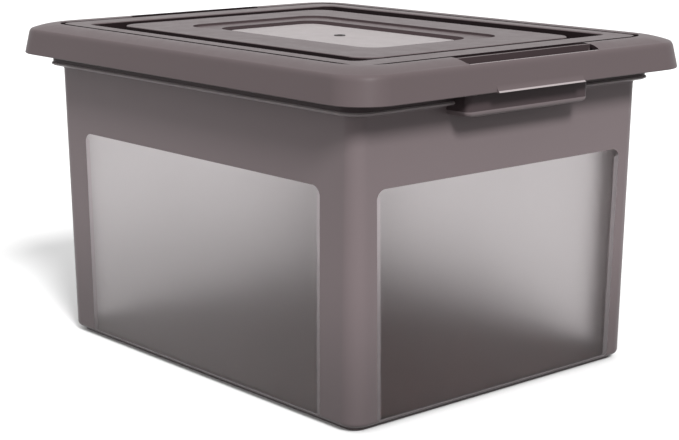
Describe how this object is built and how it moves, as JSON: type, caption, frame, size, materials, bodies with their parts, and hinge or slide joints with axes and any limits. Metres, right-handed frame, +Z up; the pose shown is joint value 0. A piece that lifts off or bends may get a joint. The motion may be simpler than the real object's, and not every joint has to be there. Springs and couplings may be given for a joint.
{
  "type": "plastic file box with lid",
  "caption": "Lidded plastic storage box for hanging file folders, with frosted windows in its walls, hand grips at both ends and a stacking lid.",
  "frame": {"origin": "centre of the footprint, on the surface that the box stands on", "axes": "+X along the long side, towards one hand grip; +Y along the short side; +Z up"},
  "size_m": [0.462, 0.3618, 0.2735],
  "materials": {
    "tub_plastic": "smoke-grey translucent polypropylene, satin, with thinner frosted windows",
    "lid_plastic": "smoke-grey polypropylene, satin, with a thinner frosted centre"
  },
  "bodies": {
    "tub": {"tub": "tub_plastic"},
    "lid": {"lid": "lid_plastic"}
  },
  "joints": [
    {"name": "lid_lift", "type": "slide", "parent": "tub", "child": "lid", "axis": [0, 0, 1], "range_m": [0, 0.35]}
  ]
}
